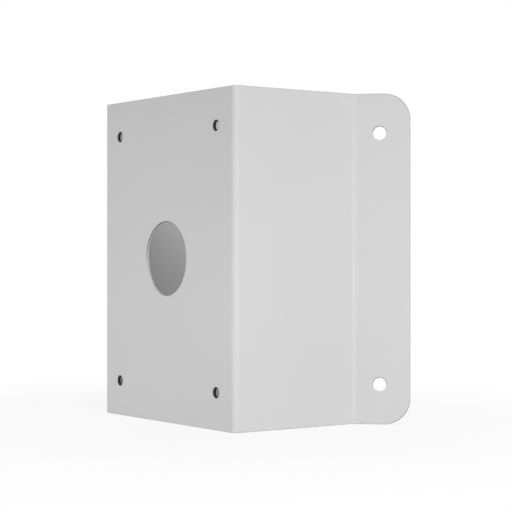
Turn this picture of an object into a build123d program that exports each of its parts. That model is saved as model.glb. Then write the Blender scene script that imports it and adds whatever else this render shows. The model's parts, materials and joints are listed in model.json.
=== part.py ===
from build123d import *
import os

# Corner mount bracket for a camera: one steel sheet, cut out and folded four times.
# The front plate carries the camera, the two side plates hold it off the building, and the
# two wall flanges turn outwards, so that each lies flat on one of the two walls that meet
# at an outside corner.
# Millimetres. The origin is the centre of the cable hole, on the outer face of the front
# plate. X runs across the plate, Y from the plate back to the walls, and Z is up.

# Sheet
sheet_t = 2.0  # thickness
height = 200.0  # lower edge to upper edge, the same all along the sheet
edge_r = 0.4  # rounding of the cut edges, all round the outline
rim_break = 0.15  # chamfer that takes the burr off the rims of the plain holes

# Plates, measured on the faces that show from the front
front_w = 148.0  # front plate, across the outer faces of the side plates
side_d = 88.0  # side plate, from the front plate to the fold line of its flange
flange_w = 34.0  # wall flange, from its fold line to its free edge
flange_corner_r = 16.0  # free corners of the wall flanges
wall_angle = 90.0  # between the two walls, measured inside the building, in degrees

# Folds, inside radii
front_fold_r = 1.0  # front plate to side plate
flange_fold_r = 4.0  # side plate to wall flange

# Cable hole, in the middle of the front plate
cable_hole_d = 45.5

# Camera holes, threaded, on the corners of a rectangle around the cable hole
camera_hole_d = 6.0  # at the roots of an M6 thread
camera_lead_in = 0.4  # chamfer at both ends of the thread
camera_pitch_x = 110.0
camera_pitch_z = 156.0

# Wall holes, one above the other in each flange
wall_hole_d = 8.2  # clears an M8 wall screw
wall_hole_in = 15.5  # fold line of the flange to the holes
wall_pitch_z = 152.0

# What follows from the sizes above
half_w = front_w / 2
flare = wall_angle / 2  # how far a wall flange leans out from straight back, in degrees
front_bend_r = front_fold_r + sheet_t  # front folds, on the outer face
drill_depth = 2 * sheet_t  # through the sheet and clear of its far side
smooth = 1.0  # faces that meet within this angle run on without an edge, in degrees


def flange_plane(side):
    """Outer face of the wall flange on one side, +1 or -1.

    Its origin is on the fold line at mid height, and its local X runs to the free edge.
    """
    to_free_edge = Vector(0, 1, 0).rotate(Axis.Z, -side * flare)
    outwards = Vector(side, 0, 0).rotate(Axis.Z, -side * flare)
    return Plane(origin=(side * half_w, side_d, 0), x_dir=to_free_edge, z_dir=outwards)


def break_rims(size):
    """Chamfer both rims of the holes that were cut last."""
    chamfer(bracket.edges(Select.LAST).filter_by(lambda edge: edge.is_closed), size)


def is_outline(edge):
    """True for an edge of the cut blank, where two faces of the sheet meet at an angle."""
    beside = bracket.faces().filter_by(lambda face: edge in face.edges())
    one, other = [face.normal_at(edge @ 0.5) for face in beside]
    return one.get_angle(other) > smooth


left_flange = flange_plane(-1)
right_flange = flange_plane(1)

with BuildPart() as bracket:
    # Folded section from above: the line of the outer faces, thickened towards the inside
    with BuildSketch(Plane.XY):
        with BuildLine():
            FilletPolyline(
                left_flange.from_local_coords((flange_w, 0, 0)),
                left_flange.origin,
                (-half_w, 0, 0),
                (half_w, 0, 0),
                right_flange.origin,
                right_flange.from_local_coords((flange_w, 0, 0)),
                radius=[flange_fold_r, front_bend_r, front_bend_r, flange_fold_r],
            )
            offset(amount=sheet_t, side=Side.LEFT)
        make_face()
    extrude(amount=height / 2, both=True)

    # Round free corners on the wall flanges
    across = bracket.faces().sort_by(Axis.X)
    free_ends = ShapeList([across[0], across[-1]])
    fillet(free_ends.edges().filter_by(Axis.Z, reverse=True), flange_corner_r)

    # Rounded outline
    fillet(bracket.edges().filter_by(is_outline), edge_r)

    # Cable hole and camera holes, through the front plate
    with Locations(Plane.XZ):
        Hole(cable_hole_d / 2, depth=drill_depth)
    break_rims(rim_break)
    with Locations(Plane.XZ):
        with GridLocations(camera_pitch_x, camera_pitch_z, 2, 2):
            Hole(camera_hole_d / 2, depth=drill_depth)
    break_rims(camera_lead_in)

    # Wall holes, through the flanges
    for flange in (left_flange, right_flange):
        with Locations(flange):
            with Locations((wall_hole_in, -wall_pitch_z / 2), (wall_hole_in, wall_pitch_z / 2)):
                Hole(wall_hole_d / 2, depth=drill_depth)
        break_rims(rim_break)

bracket.part.label = "corner_bracket"

os.makedirs("parts", exist_ok=True)
export_step(bracket.part, "parts/corner_bracket.step")
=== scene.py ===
import json
from math import radians

import bpy
from bpy.props import FloatProperty, FloatVectorProperty, IntProperty, PointerProperty
from mathutils import Matrix, Vector


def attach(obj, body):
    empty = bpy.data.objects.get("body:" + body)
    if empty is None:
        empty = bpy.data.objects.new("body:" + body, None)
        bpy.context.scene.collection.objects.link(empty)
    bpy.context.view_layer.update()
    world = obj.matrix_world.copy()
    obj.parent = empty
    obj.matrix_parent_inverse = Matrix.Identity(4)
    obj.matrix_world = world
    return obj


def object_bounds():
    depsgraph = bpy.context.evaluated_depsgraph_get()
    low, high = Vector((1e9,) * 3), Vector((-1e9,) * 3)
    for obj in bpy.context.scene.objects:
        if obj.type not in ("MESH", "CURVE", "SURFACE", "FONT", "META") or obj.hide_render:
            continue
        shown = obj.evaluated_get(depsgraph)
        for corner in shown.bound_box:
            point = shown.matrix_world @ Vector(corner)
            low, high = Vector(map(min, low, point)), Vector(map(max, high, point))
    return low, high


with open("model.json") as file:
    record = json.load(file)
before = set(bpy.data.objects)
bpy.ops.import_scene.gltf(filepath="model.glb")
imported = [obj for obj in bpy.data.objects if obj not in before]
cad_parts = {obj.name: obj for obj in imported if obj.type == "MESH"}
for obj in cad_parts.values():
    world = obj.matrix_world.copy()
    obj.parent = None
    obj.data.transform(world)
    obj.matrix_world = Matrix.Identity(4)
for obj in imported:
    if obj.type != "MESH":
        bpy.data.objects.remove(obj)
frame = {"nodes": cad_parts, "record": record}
cad_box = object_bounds()

bl_info = {
    "name": "Camera Corner Bracket",
    "version": (1, 0, 0),
    "blender": (4, 5, 0),
    "location": "3D View > Sidebar > Corner Bracket",
    "description": "Finishes a folded corner bracket: powder coat, camera threads and a studio stage",
    "category": "Object",
}

MM = 0.001

# What the frame says: X across the front plate, Y back to the walls, Z up
SHEET = frame["nodes"]["corner_bracket"]
MOUNTS = {mount["name"]: mount for mount in frame["record"]["mounts"]}
SHEET_THICKNESS = MOUNTS["cable_hole"]["dims"]["length_mm"] * MM
CAMERA_HOLE_R = MOUNTS["camera_bolts"]["dims"]["hole_r_mm"] * MM
CAMERA_HOLE_X = MOUNTS["camera_bolts"]["dims"]["spacing_x_mm"] * MM / 2
CAMERA_HOLE_Z = MOUNTS["camera_bolts"]["dims"]["spacing_y_mm"] * MM / 2
WALL_HOLE = MOUNTS["wall_bolts_right"]
WALL_HOLE_R = WALL_HOLE["dims"]["hole_r_mm"] * MM
WALL_HOLE_Z = WALL_HOLE["dims"]["pcd_mm"] * MM / 2
CABLE_HOLE_R = MOUNTS["cable_hole"]["dims"]["r_mm"] * MM
INTO_WALL = Vector(WALL_HOLE["axis"])
ALONG_FLANGE = Vector((INTO_WALL.y, -INTO_WALL.x, 0.0))

# Upper wall hole of the right flange, on the face that shows, and the flange's reach from there
FLANGE_PLACE = Vector(WALL_HOLE["pos_m"]) - INTO_WALL * SHEET_THICKNESS + Vector((0.0, 0.0, WALL_HOLE_Z))
FREE_EDGE = max(ALONG_FLANGE.dot(vertex.co - FLANGE_PLACE) for vertex in SHEET.data.vertices)
UPPER_EDGE = cad_box[1].z - WALL_HOLE_Z

MIDDLE_Y = 0.03  # about which the lamps stand
SENSOR_WIDTH = 36.0  # of the camera, in mm
WHITE = (1.0, 1.0, 1.0, 1.0)
CUT_THRESHOLD = 0.0001 * MM  # how near a point counts as on a cutting plane
MIX_FROM, MIX_TO, MIX_RESULT = 6, 7, 2  # colour sockets of a Mix node


# Settings


class CoatSettings(bpy.types.PropertyGroup):
    """Powder coat on the whole sheet"""

    colour: FloatVectorProperty(
        name="Colour", description="Pale neutral grey of the powder coat",
        subtype="COLOR", size=3, min=0.0, max=1.0, default=(0.66, 0.66, 0.66))
    cloud: FloatProperty(
        name="Cloud", description="How much lighter or darker the coat is where it is thicker or thinner",
        subtype="FACTOR", min=0.0, max=0.2, default=0.008)
    cloud_size: FloatProperty(
        name="Cloud Size", description="Width of a thicker or thinner patch",
        unit="LENGTH", min=0.005, max=0.5, default=60 * MM)
    roughness: FloatProperty(
        name="Roughness", description="Satin finish, between gloss and matt",
        subtype="FACTOR", min=0.0, max=1.0, default=0.4)
    roughness_change: FloatProperty(
        name="Roughness Change", description="How far the gloss differs from place to place",
        subtype="FACTOR", min=0.0, max=0.3, default=0.02)
    peel_size: FloatProperty(
        name="Peel Size", description="Width of one dimple of the orange peel",
        unit="LENGTH", min=0.0001, max=0.01, default=1.6 * MM)
    peel_height: FloatProperty(
        name="Peel Height", description="Height of the orange peel, crest to hollow",
        unit="LENGTH", min=0.0, max=0.001, precision=6, default=0.012 * MM)
    grain_size: FloatProperty(
        name="Grain Size", description="Width of one grain of the powder",
        unit="LENGTH", min=0.00001, max=0.001, precision=5, default=0.18 * MM)
    grain_height: FloatProperty(
        name="Grain Height", description="Height of the grain of the powder",
        unit="LENGTH", min=0.0, max=0.001, precision=6, default=0.0018 * MM)
    nib_spacing: FloatProperty(
        name="Nib Spacing", description="Mean distance between grains of dust under the coat",
        unit="LENGTH", min=0.001, max=0.1, default=9 * MM)
    nib_size: FloatProperty(
        name="Nib Size", description="Radius of a grain of dust under the coat",
        unit="LENGTH", min=0.0, max=0.002, precision=5, default=0.35 * MM)
    nib_height: FloatProperty(
        name="Nib Height", description="How far a grain of dust lifts the coat",
        unit="LENGTH", min=0.0, max=0.001, precision=6, default=0.024 * MM)
    # This colour also serves as painted shade on the upper rims of the plain holes
    edge_colour: FloatVectorProperty(
        name="Edge Colour", description="Steel that shows where the coat is thin",
        subtype="COLOR", size=3, min=0.0, max=1.0, default=(0.06, 0.06, 0.06))
    edge_width: FloatProperty(
        name="Edge Width", description="How far from a cut edge the coat is thin",
        unit="LENGTH", min=0.0, max=0.005, precision=5, default=0.55 * MM)
    # Dark rims of the plain holes: steel where the coat is thin, kept to the upper part of each rim as
    # painted shade on the rim faces that look down
    cable_rim_steel_and_shade: FloatProperty(
        name="Cable Rim Show", description="How much of the steel shows at the top of the cable hole's rims",
        subtype="FACTOR", min=0.0, max=1.0, default=1.0)
    wall_rim_steel_and_shade: FloatProperty(
        name="Wall Rim Show", description="How much of the steel shows at the top of the wall holes' rims",
        subtype="FACTOR", min=0.0, max=1.0, default=0.7)
    # Heights between which the painted shade on a plain hole's rims fades in
    rim_shade_from: FloatProperty(
        name="Rim From",
        description="Height in a plain hole, as a share of its radius, above which steel shows",
        subtype="FACTOR", min=-1.0, max=1.0, default=-0.25)
    rim_shade_full: FloatProperty(
        name="Rim Full",
        description="Height in a plain hole, as a share of its radius, above which most steel shows",
        subtype="FACTOR", min=-1.0, max=1.0, default=0.5)
    outline_show: FloatProperty(
        name="Outline Show", description="How much of the steel shows along the straight outline",
        subtype="FACTOR", min=0.0, max=1.0, default=0.25)
    corner_show: FloatProperty(
        name="Corner Show", description="How much of the steel shows round the free corners",
        subtype="FACTOR", min=0.0, max=1.0, default=0.8)
    corner_radius: FloatProperty(
        name="Corner Radius", description="Free corners of the wall flanges",
        unit="LENGTH", min=0.001, max=0.05, default=16 * MM)


class ThreadSettings(bpy.types.PropertyGroup):
    """Thread in each camera hole, cut after the sheet was coated"""

    pitch: FloatProperty(
        name="Pitch", description="Advance of the thread in one turn",
        unit="LENGTH", min=0.0002, max=0.003, default=1.0 * MM)
    lead_in: FloatProperty(
        name="Lead-In", description="Depth of the plain rim at each end of the hole",
        unit="LENGTH", min=0.0, max=0.001, default=0.4 * MM)
    colour: FloatVectorProperty(
        name="Colour", description="Oiled bare steel of the thread",
        subtype="COLOR", size=3, min=0.0, max=1.0, default=(0.05, 0.05, 0.052))
    roughness: FloatProperty(
        name="Roughness", description="How dull the oiled steel is",
        subtype="FACTOR", min=0.0, max=1.0, default=0.45)
    steps: IntProperty(
        name="Steps", description="Straight stretches in one turn of the thread",
        min=12, max=256, default=96)


class StageSettings(bpy.types.PropertyGroup):
    """Floor, light and camera"""

    floor_size: FloatProperty(
        name="Floor Size", description="Side of the square floor",
        unit="LENGTH", min=0.5, max=20.0, default=8.0)
    floor_colour: FloatVectorProperty(
        name="Floor Colour", description="Pale floor that lights the bracket from below",
        subtype="COLOR", size=3, min=0.0, max=1.0, default=(0.8, 0.8, 0.8))
    floor_roughness: FloatProperty(
        name="Floor Roughness", description="Dull enough to show no reflection of the bracket",
        subtype="FACTOR", min=0.0, max=1.0, default=0.9)
    shadow: FloatProperty(
        name="Shadow", description="How much of its shadow the floor shows, close to the bracket",
        subtype="FACTOR", min=0.0, max=1.0, default=0.15)
    shadow_reach: FloatProperty(
        name="Shadow Reach", description="Distance from the bracket at which the floor is plain white",
        unit="LENGTH", min=0.1, max=4.0, default=0.4)
    sky: FloatProperty(
        name="Sky", description="Strength of the even light from all round",
        min=0.0, max=2.0, default=0.25)
    key_power: FloatProperty(
        name="Key Power", description="Power of the large lamp, high to the right of the camera",
        unit="POWER", min=0.0, max=500.0, default=18.1)
    key_azimuth: FloatProperty(
        name="Key Azimuth", description="Where the key lamp hangs, round from the front plate",
        subtype="ANGLE", default=radians(70))
    fill_power: FloatProperty(
        name="Fill Power", description="Power of the large lamp on the far side of the bracket",
        unit="POWER", min=0.0, max=500.0, default=6.0)
    fill_azimuth: FloatProperty(
        name="Fill Azimuth", description="Where the fill lamp hangs, round from the front plate",
        subtype="ANGLE", default=radians(-110))
    front_strip_power: FloatProperty(
        name="Front Strip Power", description="Power of the low strip lamp before the front plate",
        unit="POWER", min=0.0, max=50.0, precision=3, default=0.362)
    fold_strip_power: FloatProperty(
        name="Fold Strip Power", description="Power of the low strip lamp off the right front fold",
        unit="POWER", min=0.0, max=50.0, precision=3, default=0.09)
    side_strip_power: FloatProperty(
        name="Side Strip Power", description="Power of the low strip lamp beside the right side plate",
        unit="POWER", min=0.0, max=50.0, precision=3, default=0.69)
    strip_level: FloatProperty(
        name="Strip Level", description="Height of the strip lamps above the floor",
        unit="LENGTH", min=0.05, max=0.5, default=0.055)
    camera_place: FloatVectorProperty(
        name="Camera Place", description="Where the camera stands",
        subtype="TRANSLATION", size=3, default=(0.81127, -0.50831, 0.00177))
    camera_azimuth: FloatProperty(
        name="Camera Azimuth", description="Where the camera stands, round from the front plate",
        subtype="ANGLE", default=radians(54.627))
    lens: FloatProperty(
        name="Lens", description="Focal length on a 36 mm sensor",
        unit="CAMERA", min=10.0, max=300.0, default=109.775)


class BracketSettings(bpy.types.PropertyGroup):
    """Everything that a user would change"""

    coat: PointerProperty(type=CoatSettings)
    thread: PointerProperty(type=ThreadSettings)
    stage: PointerProperty(type=StageSettings)


# Selection and shader nodes


def deselect_all():
    """Object mode with nothing selected, because an operator acts on all that is."""
    if bpy.context.object and bpy.context.object.mode != "OBJECT":
        bpy.ops.object.mode_set(mode="OBJECT")
    bpy.ops.object.select_all(action="DESELECT")


def add_node(tree, kind, sockets=None, **options):
    """A shader node with its options. Each socket takes a value, or a link from another socket."""
    node = tree.nodes.new(kind)
    for option, value in options.items():
        setattr(node, option, value)
    for name, source in (sockets or {}).items():
        if isinstance(source, bpy.types.NodeSocket):
            tree.links.new(source, node.inputs[name])
        else:
            node.inputs[name].default_value = source
    return node


def calculate(tree, operation, *operands):
    """A number worked out from numbers."""
    return add_node(tree, "ShaderNodeMath", dict(enumerate(operands)), operation=operation).outputs[0]


def calculate_vector(tree, operation, *operands):
    """A vector worked out from vectors."""
    node = add_node(tree, "ShaderNodeVectorMath", dict(enumerate(operands)), operation=operation)
    return node.outputs["Vector"]


def length(tree, vector):
    """How long a vector is."""
    return add_node(tree, "ShaderNodeVectorMath", {0: vector}, operation="LENGTH").outputs["Value"]


def seen_along_y(tree, vector):
    """A vector without its Y."""
    return calculate_vector(tree, "MULTIPLY", vector, (1.0, 0.0, 1.0))


def split(tree, vector):
    """The X, Y and Z of a vector."""
    return add_node(tree, "ShaderNodeSeparateXYZ", {0: vector}).outputs


def ramp(tree, value, start, end, at_start, at_end, interpolation="SMOOTHSTEP"):
    """A number that goes from at_start to at_end while a value goes from start to end."""
    node = add_node(
        tree, "ShaderNodeMapRange",
        {"Value": value, "From Min": start, "From Max": end, "To Min": at_start, "To Max": at_end},
        interpolation_type=interpolation)
    return node.outputs["Result"]


def new_material(name, sockets=None):
    """A material, its node tree and its shader, with values for the shader's sockets."""
    material = bpy.data.materials.new(name)
    material.use_nodes = True
    shader = material.node_tree.nodes["Principled BSDF"]
    for socket, value in (sockets or {}).items():
        shader.inputs[socket].default_value = value
    return material, material.node_tree, shader


def new_group(name, vectors, numbers, results):
    """An empty shader group, with the sockets that it is given and those of its results."""
    group = bpy.data.node_groups.new(name, "ShaderNodeTree")
    for labels, way, kind in (
            (vectors, "INPUT", "NodeSocketVector"),
            (numbers, "INPUT", "NodeSocketFloat"),
            (results, "OUTPUT", "NodeSocketFloat")):
        for label in labels:
            group.interface.new_socket(label, in_out=way, socket_type=kind)
    return group, group.nodes.new("NodeGroupInput").outputs, group.nodes.new("NodeGroupOutput").inputs


# Powder coat


def relief_group():
    """Height of a sprayed coat: broad dimples of orange peel, a fine grain, and a few nibs."""
    group, given, result = new_group(
        "Coat Relief", ["Vector"],
        ["Peel Scale", "Peel Height", "Grain Scale", "Grain Height", "Nib Scale", "Nib Size", "Nib Height"],
        ["Height"])
    peel = add_node(
        group, "ShaderNodeTexNoise",
        {"Vector": given["Vector"], "Scale": given["Peel Scale"], "Detail": 1.0, "Roughness": 0.4})
    grain = add_node(
        group, "ShaderNodeTexNoise",
        {"Vector": given["Vector"], "Scale": given["Grain Scale"], "Detail": 1.0})
    cells = add_node(
        group, "ShaderNodeTexVoronoi", {"Vector": given["Vector"], "Scale": given["Nib Scale"]})
    nib = ramp(group, cells.outputs["Distance"], 0.0, given["Nib Size"], 1.0, 0.0)

    # Each at its own height, one on top of the other
    height = calculate(group, "MULTIPLY", peel.outputs["Fac"], given["Peel Height"])
    height = calculate(group, "MULTIPLY_ADD", grain.outputs["Fac"], given["Grain Height"], height)
    height = calculate(group, "MULTIPLY_ADD", nib, given["Nib Height"], height)
    group.links.new(height, result["Height"])
    return group


def rim_group():
    """Distance from the nearer rim of a hole, which runs along Y from the origin.

    Depth is 0 on either face of the sheet, and less between them.
    """
    group, given, result = new_group(
        "Rim Distance", ["Vector"], ["Radius", "Thickness"], ["Distance", "Depth"])
    radius = length(group, seen_along_y(group, given["Vector"]))
    out = calculate(group, "SUBTRACT", radius, given["Radius"])

    half = calculate(group, "MULTIPLY", given["Thickness"], 0.5)
    from_middle = calculate(group, "SUBTRACT", split(group, given["Vector"])["Y"], half)
    depth = calculate(group, "SUBTRACT", calculate(group, "ABSOLUTE", from_middle), half)
    group.links.new(depth, result["Depth"])

    both = add_node(group, "ShaderNodeCombineXYZ", {"X": out, "Y": depth})
    group.links.new(length(group, both.outputs[0]), result["Distance"])
    return group


def outline_group():
    """Distance from a straight outline along X and Z, whose corner is round, seen along Y.

    Corner is 1 halfway round the corner, and falls to 0 where it runs into the straight.
    """
    group, given, result = new_group(
        "Outline Distance", ["Vector", "Corner Middle"], ["Corner Radius"], ["Distance", "Corner"])
    from_middle = calculate_vector(group, "SUBTRACT", given["Vector"], given["Corner Middle"])
    beyond = calculate_vector(group, "MAXIMUM", from_middle, (0.0, 0.0, 0.0))
    radius = length(group, seen_along_y(group, beyond))
    distance = calculate(group, "SUBTRACT", given["Corner Radius"], radius)
    group.links.new(distance, result["Distance"])

    # Sine of twice the angle round the corner: 2 x z / r^2
    parts = split(group, beyond)
    area = calculate(group, "MULTIPLY", parts["X"], parts["Z"])
    square = calculate(group, "MULTIPLY", given["Corner Radius"], given["Corner Radius"])
    corner = calculate(group, "DIVIDE", calculate(group, "MULTIPLY", area, 2.0), square)
    group.links.new(corner, result["Corner"])
    return group


def hole_group():
    """1 within a radius of the camera hole's axis, and 0 elsewhere."""
    group, given, result = new_group("Camera Hole Mask", ["Vector", "Hole Place"], ["Radius"], ["Mask"])
    away = calculate_vector(group, "SUBTRACT", given["Vector"], given["Hole Place"])
    distance = length(group, seen_along_y(group, away))
    group.links.new(calculate(group, "LESS_THAN", distance, given["Radius"]), result["Mask"])
    return group


def thin_coat_and_rim_shade(tree, place, folded, coat):
    """How much of the steel shows where the coat is thin on the cut edges, together with the painted shade
    on the upper rims of the plain holes.

    The powder draws back from sharp edges as it melts, most of all round the free corners. On a plain hole's
    rims the dark band is shown only in their upper part, as painted shade on the rim faces that look down.
    """
    turn = ALONG_FLANGE.xy.angle_signed(Vector((1.0, 0.0)))
    in_flange = add_node(
        tree, "ShaderNodeMapping",
        {"Vector": folded, "Location": FLANGE_PLACE, "Rotation": (0.0, 0.0, turn)},
        vector_type="TEXTURE").outputs["Vector"]
    solid_width = coat.edge_width / 3  # beyond this the steel fades

    # Height of a place, and the same with the lower wall hole brought up to the upper one; these keep the
    # painted shade to the upper part of each rim
    height = split(tree, place)["Z"]
    raised = calculate(tree, "WRAP", height, 2 * WALL_HOLE_Z, 0.0)

    bands = []
    rims = rim_group()
    # Rim bands of the plain holes, shown only above a height: painted shade on the rim faces that look down
    for radius, vector, level, middle, most in (
            (CABLE_HOLE_R, folded, height, 0.0, coat.cable_rim_steel_and_shade),
            (WALL_HOLE_R, in_flange, raised, WALL_HOLE_Z, coat.wall_rim_steel_and_shade)):
        rim = add_node(
            tree, "ShaderNodeGroup",
            {"Vector": vector, "Radius": radius, "Thickness": SHEET_THICKNESS},
            node_tree=rims).outputs
        show = ramp(
            tree, level, middle + coat.rim_shade_from * radius, middle + coat.rim_shade_full * radius, 0.0, most)
        bands.append((rim["Distance"], show))

    # The last rim was a wall hole's, so its depth is that in the flange
    near_face = ramp(tree, rim["Depth"], -coat.edge_width, -solid_width, 0.0, 1.0)
    outline = add_node(
        tree, "ShaderNodeGroup",
        {"Vector": in_flange, "Corner Radius": coat.corner_radius,
         "Corner Middle": (FREE_EDGE - coat.corner_radius, 0.0, UPPER_EDGE - coat.corner_radius)},
        node_tree=outline_group()).outputs
    sharp = calculate(tree, "MULTIPLY", outline["Corner"], near_face)
    show = ramp(tree, sharp, 0.0, 1.0, coat.outline_show, coat.corner_show, "LINEAR")
    bands.append((outline["Distance"], show))

    steel = 0.0
    for distance, show in bands:
        band = ramp(tree, distance, solid_width, coat.edge_width, show, 0.0)
        steel = calculate(tree, "MAXIMUM", steel, band)
    return steel


def drift(tree, noise, middle, change):
    """A number that drifts with a noise, at most by some change from its middle."""
    return ramp(tree, noise.outputs["Fac"], 0.0, 1.0, middle - change, middle + change, "LINEAR")


def coat_material(coat, thread):
    """Pale satin powder coat, thin on the cut edges, with painted shade on the upper rims of the plain
    holes, and cut through to steel in the camera holes.
    """
    material, tree, shader = new_material("Powder Coat")
    link = tree.links.new
    place = add_node(tree, "ShaderNodeTexCoord").outputs["Object"]
    folded = calculate_vector(tree, "ABSOLUTE", place)  # the upper right quarter stands for all four

    relief = add_node(
        tree, "ShaderNodeGroup",
        {"Vector": place, "Peel Scale": 1 / coat.peel_size, "Peel Height": coat.peel_height,
         "Grain Scale": 1 / coat.grain_size, "Grain Height": coat.grain_height,
         "Nib Scale": 1 / coat.nib_spacing, "Nib Size": coat.nib_size / coat.nib_spacing,
         "Nib Height": coat.nib_height},
        node_tree=relief_group())
    bump = add_node(tree, "ShaderNodeBump", {"Height": relief.outputs["Height"], "Distance": 1.0})
    link(bump.outputs["Normal"], shader.inputs["Normal"])

    # Colour and gloss that drift over the sheet
    cloud = add_node(
        tree, "ShaderNodeTexNoise", {"Vector": place, "Scale": 1 / coat.cloud_size, "Detail": 1.0})
    shade = drift(tree, cloud, 1.0, coat.cloud)
    link(drift(tree, cloud, coat.roughness, coat.roughness_change), shader.inputs["Roughness"])
    shaded = add_node(
        tree, "ShaderNodeVectorMath", {0: tuple(coat.colour), "Scale": shade}, operation="SCALE")

    # Steel, under the thin coat of the edges and bare in the camera holes, and painted shade on the upper
    # rims of the plain holes
    hole = add_node(
        tree, "ShaderNodeGroup",
        {"Vector": folded, "Hole Place": (CAMERA_HOLE_X, 0.0, CAMERA_HOLE_Z),
         "Radius": CAMERA_HOLE_R + thread.lead_in},
        node_tree=hole_group()).outputs["Mask"]
    colour = shaded.outputs["Vector"]
    for mask, steel in ((thin_coat_and_rim_shade(tree, place, folded, coat), coat.edge_colour), (hole, thread.colour)):
        mixed = add_node(
            tree, "ShaderNodeMix", {"Factor": mask, MIX_FROM: colour, MIX_TO: (*steel, 1.0)},
            data_type="RGBA")
        colour = mixed.outputs[MIX_RESULT]
    link(colour, shader.inputs["Base Color"])
    link(hole, shader.inputs["Metallic"])
    return material


class BRACKET_OT_coat_sheet(bpy.types.Operator):
    """Powder coat the folded sheet"""

    bl_idname = "bracket.coat_sheet"
    bl_label = "Coat Sheet"

    def execute(self, context):
        settings = context.scene.corner_bracket
        material = coat_material(settings.coat, settings.thread)
        for slot in SHEET.material_slots:
            slot.material = material
        return {"FINISHED"}


# Camera threads


def thread_material(thread):
    """Bare steel with oil left in it."""
    return new_material(
        "Bare Thread",
        {"Base Color": (*thread.colour, 1.0), "Metallic": 1.0, "Roughness": thread.roughness})[0]


def turn_thread(thread):
    """A closed helical ridge round the Y axis, from one rim of a camera hole to the other."""
    # Thread form of sixty degrees: flats and depth as shares of the pitch
    foot, crest, depth = (share * thread.pitch for share in (7 / 8, 1 / 4, 0.5413))
    rooted = 0.05 * MM  # how far the ridge reaches into the wall of the hole
    turns = round(SHEET_THICKNESS / thread.pitch) + 2  # one to cut off at each end
    middle = CAMERA_HOLE_R + (rooted - depth) / 2

    # Outline of the ridge, a turn in front of the sheet: wide at its foot, narrow at its crest
    deselect_all()
    bpy.ops.mesh.primitive_plane_add(size=1)
    ridge = bpy.context.object
    bpy.ops.object.mode_set(mode="EDIT")
    bpy.ops.transform.resize(value=(depth + rooted, foot, 1))
    bpy.ops.transform.translate(value=(middle, -thread.pitch, 0))
    bpy.ops.mesh.select_all(action="DESELECT")
    bpy.ops.object.mode_set(mode="OBJECT")
    for vertex in ridge.data.vertices:
        vertex.select = vertex.co.x < middle
    bpy.ops.object.mode_set(mode="EDIT")
    bpy.ops.transform.resize(value=(1, crest / foot, 1))
    bpy.ops.mesh.select_all(action="SELECT")
    bpy.ops.mesh.delete(type="ONLY_FACE")
    bpy.ops.object.mode_set(mode="OBJECT")

    screw = ridge.modifiers.new("Screw", "SCREW")
    screw.axis = "Y"
    screw.screw_offset = thread.pitch
    screw.iterations = turns
    screw.steps = screw.render_steps = thread.steps
    bpy.ops.object.modifier_apply(modifier=screw.name)

    # Cut off at both rims, and closed there
    for rim, outwards in ((thread.lead_in, -1), (SHEET_THICKNESS - thread.lead_in, 1)):
        bpy.ops.object.mode_set(mode="EDIT")
        bpy.ops.mesh.select_all(action="SELECT")
        bpy.ops.mesh.bisect(
            plane_co=(0, rim, 0), plane_no=(0, outwards, 0), use_fill=True, clear_outer=True,
            threshold=CUT_THRESHOLD)
        bpy.ops.object.mode_set(mode="OBJECT")
    bpy.ops.object.mode_set(mode="EDIT")
    bpy.ops.mesh.select_all(action="SELECT")
    bpy.ops.mesh.normals_make_consistent()
    bpy.ops.object.mode_set(mode="OBJECT")
    bpy.ops.object.shade_smooth_by_angle(angle=radians(30))
    return ridge


def seat_copy(pattern, name, place):
    """A copy of a piece that was modelled at the origin, at its place in the bracket."""
    deselect_all()
    pattern.select_set(True)
    bpy.context.view_layer.objects.active = pattern
    bpy.ops.object.duplicate()
    piece = bpy.context.object
    piece.name = name
    piece.location = place
    bpy.ops.object.transform_apply()
    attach(piece, "root")


class BRACKET_OT_cut_threads(bpy.types.Operator):
    """Cut a thread in each camera hole"""

    bl_idname = "bracket.cut_threads"
    bl_label = "Cut Threads"

    def execute(self, context):
        thread = context.scene.corner_bracket.thread
        ridge = turn_thread(thread)
        ridge.data.materials.append(thread_material(thread))
        for level, z in (("upper", CAMERA_HOLE_Z), ("lower", -CAMERA_HOLE_Z)):
            for side, x in (("left", -CAMERA_HOLE_X), ("right", CAMERA_HOLE_X)):
                seat_copy(ridge, f"camera_thread_{level}_{side}", (x, 0.0, z))
        bpy.data.objects.remove(ridge)
        return {"FINISHED"}


# Stage


def seen_directly(tree):
    """1 for rays that look at the background, straight or in a reflection, and 0 for its light."""
    path = add_node(tree, "ShaderNodeLightPath").outputs
    mask = path["Is Camera Ray"]
    for ray in ("Is Glossy Ray", "Is Transmission Ray"):
        mask = calculate(tree, "MAXIMUM", mask, path[ray])
    return mask


def lay_floor(stage):
    """Pale floor under the bracket, which looks white but for the bracket's faint shadow."""
    deselect_all()
    bpy.ops.mesh.primitive_plane_add(size=stage.floor_size, location=(0, 0, cad_box[0].z))
    floor = bpy.context.object
    floor.name = "floor"
    bpy.ops.object.transform_apply()
    material, tree, shader = new_material(
        "Pale Floor",
        {"Base Color": (*stage.floor_colour, 1.0), "Roughness": stage.floor_roughness})

    # Share of plain white, which grows with the distance from the bracket
    distance = length(tree, add_node(tree, "ShaderNodeTexCoord").outputs["Object"])
    clear = ramp(tree, distance, cad_box[1].x, stage.shadow_reach, 1 - stage.shadow, 1.0)
    share = calculate(tree, "MULTIPLY", seen_directly(tree), clear)
    white = add_node(tree, "ShaderNodeEmission", {"Color": WHITE, "Strength": 1.0})
    mixed = add_node(
        tree, "ShaderNodeMixShader", {0: share, 1: shader.outputs[0], 2: white.outputs[0]})
    tree.links.new(mixed.outputs[0], tree.nodes["Material Output"].inputs["Surface"])
    floor.data.materials.append(material)


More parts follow.
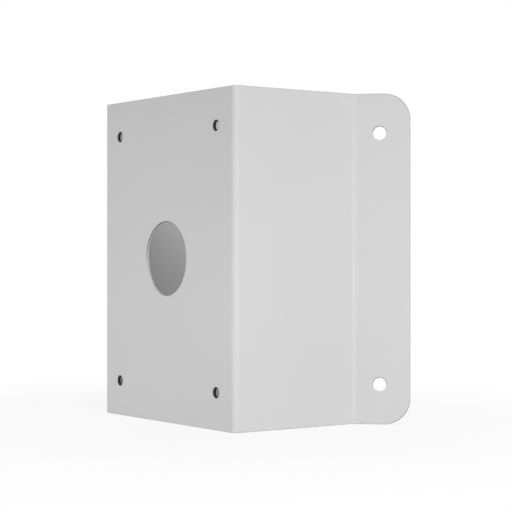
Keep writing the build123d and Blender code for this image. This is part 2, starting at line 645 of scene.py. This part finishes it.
def light_world(stage):
    """Even light from all round, plain white where it is seen."""
    world = bpy.data.worlds.new("Studio")
    bpy.context.scene.world = world
    world.use_nodes = True
    tree = world.node_tree
    light = tree.nodes["Background"]
    light.inputs["Color"].default_value = WHITE
    light.inputs["Strength"].default_value = stage.sky
    white = add_node(tree, "ShaderNodeBackground", {"Color": WHITE, "Strength": 1.0})
    mixed = add_node(
        tree, "ShaderNodeMixShader", {0: seen_directly(tree), 1: light.outputs[0], 2: white.outputs[0]})
    tree.links.new(mixed.outputs[0], tree.nodes["World Output"].inputs["Surface"])


def hang_lamp(name, power, size, azimuth, distance, level, target_level):
    """A soft lamp of a width and height, which faces the bracket's middle at some level."""
    deselect_all()
    target = Vector((0.0, MIDDLE_Y, target_level))
    place = Matrix.Rotation(azimuth, 4, "Z") @ Vector((0.0, -distance, 0.0)) + Vector((0.0, MIDDLE_Y, level))
    bpy.ops.object.light_add(
        type="AREA", location=place, rotation=(target - place).to_track_quat("-Z", "Y").to_euler())
    lamp = bpy.context.object
    lamp.name = name
    lamp.visible_camera = False
    lamp.data.energy = power
    lamp.data.shape = "RECTANGLE"
    lamp.data.size, lamp.data.size_y = size


def hang_lamps(stage):
    """Two large lamps on opposite sides, and three strips just above the floor."""
    large, strip = (1.0, 1.0), (0.4, 0.1)
    low = cad_box[0].z + stage.strip_level
    lamps = (
        # Name, power, size, azimuth, distance, level, and the level that it faces
        ("key_lamp", stage.key_power, large, stage.key_azimuth, 1.6, 1.4, 0.0),
        ("fill_lamp", stage.fill_power, large, stage.fill_azimuth, 1.6, 0.5, 0.0),
        ("front_strip", stage.front_strip_power, strip, radians(-15), 0.4, low, low),
        ("fold_strip", stage.fold_strip_power, strip, radians(40), 0.3, low, low),
        ("side_strip", stage.side_strip_power, strip, radians(95), 0.6, low, low),
    )
    for lamp in lamps:
        hang_lamp(*lamp)


def place_camera(stage):
    """Level camera at half the bracket's height, off its front right fold."""
    deselect_all()
    bpy.ops.object.camera_add(
        location=stage.camera_place, rotation=(radians(90), 0, stage.camera_azimuth))
    camera = bpy.context.object
    camera.name = "camera"
    camera.data.lens = stage.lens
    camera.data.sensor_width = SENSOR_WIDTH
    bpy.context.scene.camera = camera


class BRACKET_OT_set_stage(bpy.types.Operator):
    """Lay the floor, hang the lamps and place the camera"""

    bl_idname = "bracket.set_stage"
    bl_label = "Set Stage"

    def execute(self, context):
        stage = context.scene.corner_bracket.stage
        lay_floor(stage)
        light_world(stage)
        hang_lamps(stage)
        place_camera(stage)
        context.scene.view_settings.view_transform = "Standard"
        return {"FINISHED"}


# Panel and registration


class BRACKET_PT_sidebar(bpy.types.Panel):
    """Pieces and stage, each with its settings"""

    bl_idname = "BRACKET_PT_sidebar"
    bl_label = "Corner Bracket"
    bl_space_type = "VIEW_3D"
    bl_region_type = "UI"
    bl_category = "Corner Bracket"

    def draw(self, context):
        settings = context.scene.corner_bracket
        steps = (
            (settings.coat, BRACKET_OT_coat_sheet),
            (settings.thread, BRACKET_OT_cut_threads),
            (settings.stage, BRACKET_OT_set_stage),
        )
        for group, operator in steps:
            box = self.layout.box()
            for name in group.__annotations__:
                box.prop(group, name)
            box.operator(operator.bl_idname)


CLASSES = (
    CoatSettings,
    ThreadSettings,
    StageSettings,
    BracketSettings,
    BRACKET_OT_coat_sheet,
    BRACKET_OT_cut_threads,
    BRACKET_OT_set_stage,
    BRACKET_PT_sidebar,
)


def register():
    for cls in CLASSES:
        bpy.utils.register_class(cls)
    bpy.types.Scene.corner_bracket = PointerProperty(type=BracketSettings)


def unregister():
    del bpy.types.Scene.corner_bracket
    for cls in reversed(CLASSES):
        bpy.utils.unregister_class(cls)


def main():
    register()
    bpy.ops.bracket.coat_sheet()
    bpy.ops.bracket.cut_threads()
    bpy.ops.bracket.set_stage()


if __name__ == "__main__":
    main()
